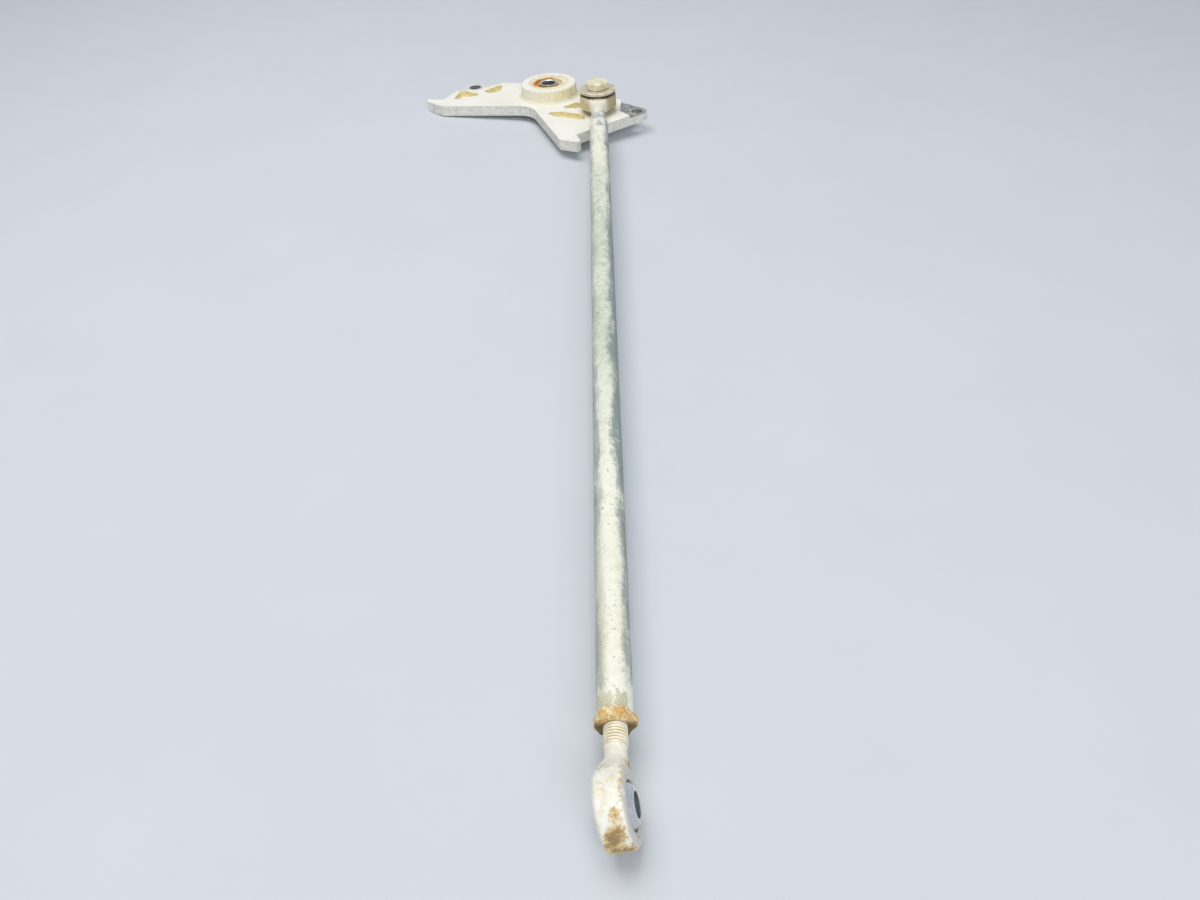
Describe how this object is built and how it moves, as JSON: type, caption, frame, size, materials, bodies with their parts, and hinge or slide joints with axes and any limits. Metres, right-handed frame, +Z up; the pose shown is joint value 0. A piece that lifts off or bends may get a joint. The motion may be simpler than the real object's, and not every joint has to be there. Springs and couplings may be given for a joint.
{
  "type": "aircraft bellcrank",
  "caption": "Flat aircraft bellcrank with a hub bearing, cable lugs and stop tabs, bolted to an adjustable push rod with swivelling rod ends.",
  "frame": {"origin": "centre of the pivot bore in the hub", "axes": "+Z up the pivot axis, +X to the right arm's side, push rod along -Y"},
  "size_m": [0.126, 0.5125, 0.0281],
  "materials": {
    "plate_finish": "weathered off-white finish on cast light alloy",
    "bushing_steel": "dull steel",
    "bearing_ring": "yellowed plating",
    "bearing_steel": "bright steel",
    "rusted_shield": "rusted steel",
    "plated_hardware": "dull yellowed cadmium-coloured plating",
    "lock_ring": "moulded locking ring",
    "plated_rod_end": "dull yellowed plating",
    "race_steel": "bright steel",
    "tube_finish": "worn pale finish with dark streaks",
    "pale_rod_end": "pale plating with brown rust patches",
    "rusted_nut": "heavily rusted over pale plating"
  },
  "bodies": {
    "crank": {"crank_plate": "plate_finish", "left_lug_bushing": "bushing_steel", "right_lug_bushing": "bushing_steel", "pivot_outer_ring": "bearing_ring", "pivot_upper_shield": "rusted_shield", "pivot_lower_shield": "rusted_shield", "attach_bolt": "plated_hardware", "top_washer": "plated_hardware", "lower_washer": "plated_hardware", "under_washer": "plated_hardware", "lock_nut": "plated_hardware", "lock_nut_insert": "lock_ring"},
    "pivot_inner": {"pivot_inner_ring": "bearing_steel"},
    "ball_row": {"pivot_balls": "bearing_steel"},
    "far_swivel": {"far_ball": "race_steel"},
    "push_rod": {"far_rod_end": "plated_rod_end", "far_race": "race_steel", "rod_tube": "tube_finish", "threaded_insert": "race_steel", "near_rod_end": "pale_rod_end", "near_race": "race_steel", "jam_nut": "rusted_nut"},
    "near_swivel": {"near_ball": "race_steel"}
  },
  "joints": [
    {"name": "pivot_spin", "type": "hinge", "parent": "crank", "child": "pivot_inner", "pos_m": [0, 0, 0], "axis": [0, 0, 1], "continuous": true},
    {"name": "ball_orbit", "type": "hinge", "parent": "crank", "child": "ball_row", "pos_m": [0, 0, 0], "axis": [0, 0, 1], "continuous": true},
    {"name": "rod_swing", "type": "hinge", "parent": "crank", "child": "far_swivel", "pos_m": [0.0284, -0.0308, 0.00576], "axis": [0, 0, 1], "range_deg": [-90, 120]},
    {"name": "rod_tilt", "type": "hinge", "parent": "far_swivel", "child": "push_rod", "pos_m": [0.0284, -0.0308, 0.00576], "axis": [0.9999, 0.0108, 0], "range_deg": [-6, 0.6]},
    {"name": "near_ball_spin", "type": "hinge", "parent": "push_rod", "child": "near_swivel", "pos_m": [0.03321, -0.47511, -0.00168], "axis": [0.9744, 0.0068, 0.2249], "continuous": true}
  ],
  "couplings": [
    {"joint": "ball_orbit", "follows": "pivot_spin", "ratio": 0.373}
  ]
}
